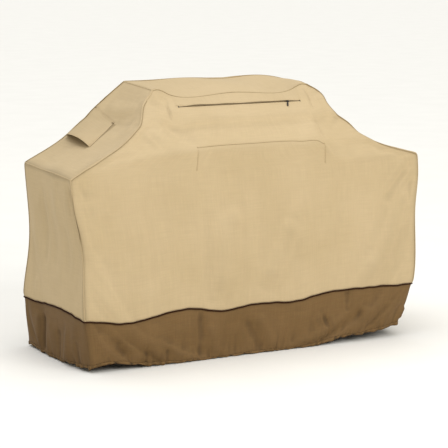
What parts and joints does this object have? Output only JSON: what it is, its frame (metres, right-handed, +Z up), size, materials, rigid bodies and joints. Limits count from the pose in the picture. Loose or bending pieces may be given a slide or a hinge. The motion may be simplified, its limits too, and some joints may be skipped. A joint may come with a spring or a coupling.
{
  "type": "grill cover",
  "caption": "Fitted cloth cover for a wide cart barbecue, with a raised hood, zipped pocket under a storm flap, hooded shoulder vents and a piped skirt with an elastic hem.",
  "frame": {"origin": "centre of the footprint, on the ground that the hem stands on", "axes": "+X along the cover's length (to the right when seen from the front), +Y from the front to the rear, +Z up"},
  "size_m": [1.78, 0.636, 1.221],
  "materials": {
    "body_cloth": "matt coated polyester weave, pebble tan",
    "skirt_cloth": "matt coated polyester weave, bark brown",
    "piping_cord": "dark brown corded bias tape, slight sheen",
    "elastic": "braided elastic cord",
    "lining_cloth": "matt lining cloth",
    "zip_tape": "woven tape",
    "zip_coil": "moulded nylon coil",
    "zip_metal": "dark satin enamel",
    "pull_rubber": "moulded rubber",
    "vent_net": "open knitted net"
  },
  "bodies": {
    "cover": {"front_panel": "body_cloth", "rear_panel": "body_cloth", "left_side_panel": "body_cloth", "right_side_panel": "body_cloth", "left_shoulder_panel": "body_cloth", "right_shoulder_panel": "body_cloth", "left_ear_panel": "body_cloth", "right_ear_panel": "body_cloth", "hood_front_panel": "body_cloth", "zip_header_panel": "body_cloth", "top_panel": "body_cloth", "hood_rear_panel": "body_cloth", "front_skirt": "skirt_cloth", "rear_skirt": "skirt_cloth", "left_skirt": "skirt_cloth", "right_skirt": "skirt_cloth", "piping": "piping_cord", "front_hem": "skirt_cloth", "rear_hem": "skirt_cloth", "left_hem": "skirt_cloth", "right_hem": "skirt_cloth", "elastic_cord": "elastic", "pocket_lining": "lining_cloth", "upper_zip_tape": "zip_tape", "lower_zip_tape": "zip_tape", "upper_zip_coil": "zip_coil", "lower_zip_coil": "zip_coil", "zip_top_stop": "zip_metal", "zip_bottom_stop": "zip_metal", "left_vent_binding": "body_cloth", "right_vent_binding": "body_cloth", "left_vent_mesh": "vent_net", "right_vent_mesh": "vent_net"},
    "slider": {"zip_slider": "zip_metal"},
    "link": {"pull_link": "zip_metal"},
    "tab": {"pull_tab": "pull_rubber"},
    "storm_flap": {"storm_flap": "body_cloth"},
    "left_vent_flap": {"left_vent_flap": "body_cloth"},
    "right_vent_flap": {"right_vent_flap": "body_cloth"}
  },
  "joints": [
    {"name": "zip_slide", "type": "slide", "parent": "cover", "child": "slider", "axis": [1, 0, 0], "range_m": [-0.555, 0.055]},
    {"name": "pull_swivel", "type": "hinge", "parent": "slider", "child": "link", "pos_m": [0.27, -0.12747, 1.1548], "axis": [0, -0.731, 0.6824], "range_deg": [-56, 94]},
    {"name": "pull_lift", "type": "hinge", "parent": "link", "child": "tab", "pos_m": [0.26772, -0.13242, 1.15037], "axis": [-0.9455, 0.2222, 0.238], "range_deg": [0, 100]},
    {"name": "storm_flap_hinge", "type": "hinge", "parent": "cover", "child": "storm_flap", "pos_m": [0.02, -0.06122, 1.2202], "axis": [-1, 0, 0], "range_deg": [0, 110]},
    {"name": "left_vent_hinge", "type": "hinge", "parent": "cover", "child": "left_vent_flap", "pos_m": [-0.55255, 0.122, 1.07206], "axis": [0, 1, 0], "range_deg": [0, 60]},
    {"name": "right_vent_hinge", "type": "hinge", "parent": "cover", "child": "right_vent_flap", "pos_m": [0.55255, 0.122, 1.07206], "axis": [0, -1, 0], "range_deg": [0, 60]}
  ]
}
